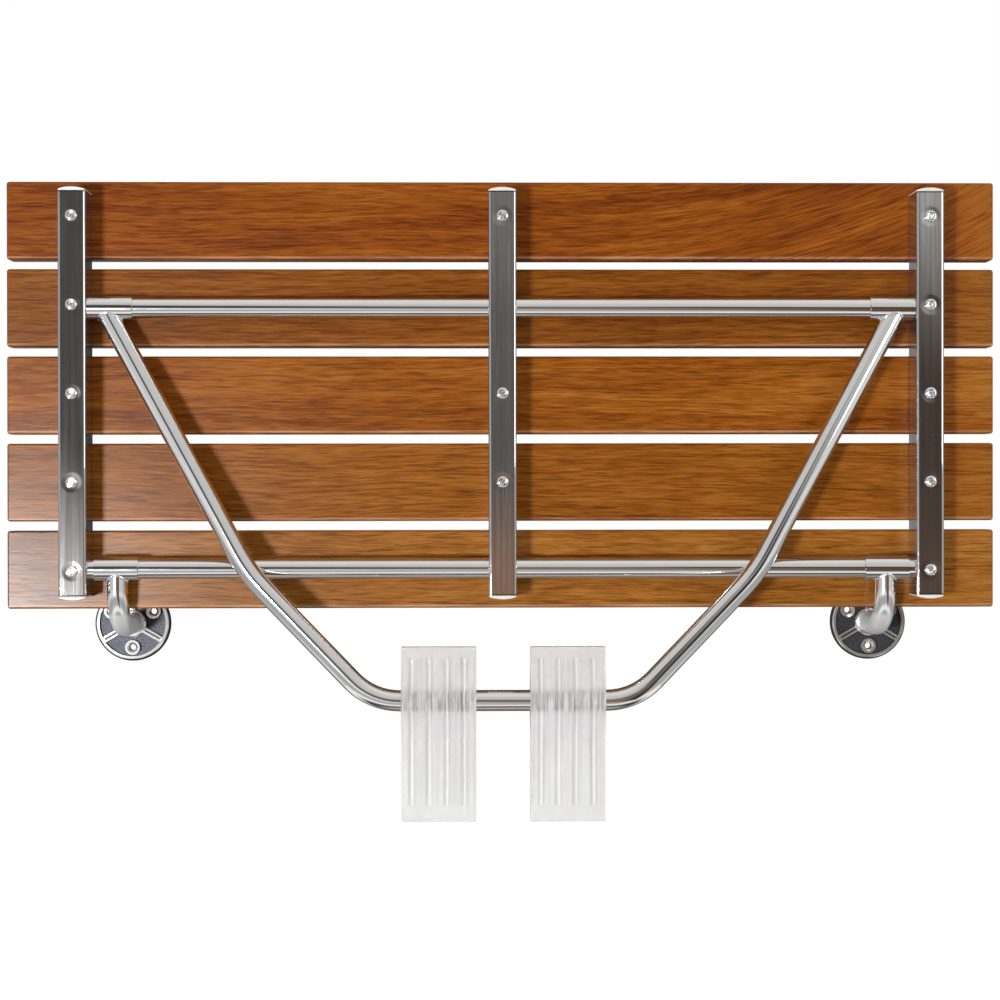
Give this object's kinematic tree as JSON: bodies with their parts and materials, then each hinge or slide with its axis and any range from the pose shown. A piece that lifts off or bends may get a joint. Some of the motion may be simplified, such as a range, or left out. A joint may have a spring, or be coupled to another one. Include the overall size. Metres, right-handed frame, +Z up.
{
  "type": "folding wall seat",
  "caption": "Slatted wooden seat that folds up against a wall on tube hinges, with a bent tube strut and clear wall pads that prop it when it is down.",
  "frame": {"origin": "on the wall plane, midway between the lowest screw holes of the two flanges", "axes": "+X along the slats to the viewer's right, +Y into the wall, +Z up, with the seat folded up"},
  "size_m": [0.9144, 0.1147, 0.5831],
  "materials": {
    "teak": "oiled, fine straight grain along the slat",
    "polished_steel": "polished",
    "cast_steel": "cast and polished",
    "screw_steel": "satin",
    "cap_plastic": "bright plated plastic",
    "clear_vinyl": "clear, faintly cloudy, glossy"
  },
  "bodies": {
    "wall_brackets": {"wall_flange_left": "cast_steel", "wall_flange_right": "cast_steel", "wall_arm_left": "polished_steel", "wall_arm_right": "polished_steel", "hinge_sleeve_left": "polished_steel", "hinge_sleeve_right": "polished_steel"},
    "seat": {"slat_1": "teak", "slat_2": "teak", "slat_3": "teak", "slat_4": "teak", "slat_5": "teak", "cross_bar_left": "polished_steel", "cross_bar_centre": "polished_steel", "cross_bar_right": "polished_steel", "bar_cap_left_upper": "cap_plastic", "bar_cap_left_lower": "cap_plastic", "bar_cap_centre_upper": "cap_plastic", "bar_cap_centre_lower": "cap_plastic", "bar_cap_right_upper": "cap_plastic", "bar_cap_right_lower": "cap_plastic", "slat_screws_left": "screw_steel", "slat_screws_centre": "screw_steel", "slat_screws_right": "screw_steel", "strut_pivot_tube": "polished_steel", "seat_hinge_tube": "polished_steel"},
    "strut": {"strut_tube": "polished_steel", "strut_sleeve_left": "polished_steel", "strut_sleeve_right": "polished_steel"},
    "pad_left": {"wall_pad_left": "clear_vinyl"},
    "pad_right": {"wall_pad_right": "clear_vinyl"}
  },
  "joints": [
    {"name": "seat_fold", "type": "hinge", "parent": "wall_brackets", "child": "seat", "pos_m": [0, -0.072, 0.078], "axis": [1, 0, 0], "range_deg": [0, 90]},
    {"name": "strut_swing", "type": "hinge", "parent": "seat", "child": "strut", "pos_m": [0, -0.072, 0.316], "axis": [-1, 0, 0], "range_deg": [0, 178]},
    {"name": "pad_left_swivel", "type": "hinge", "parent": "strut", "child": "pad_left", "pos_m": [-0.058, -0.10095, -0.03982], "axis": [1, 0, 0], "range_deg": [-90, 90]},
    {"name": "pad_right_swivel", "type": "hinge", "parent": "strut", "child": "pad_right", "pos_m": [0.058, -0.10095, -0.03982], "axis": [1, 0, 0], "range_deg": [-90, 90]}
  ]
}
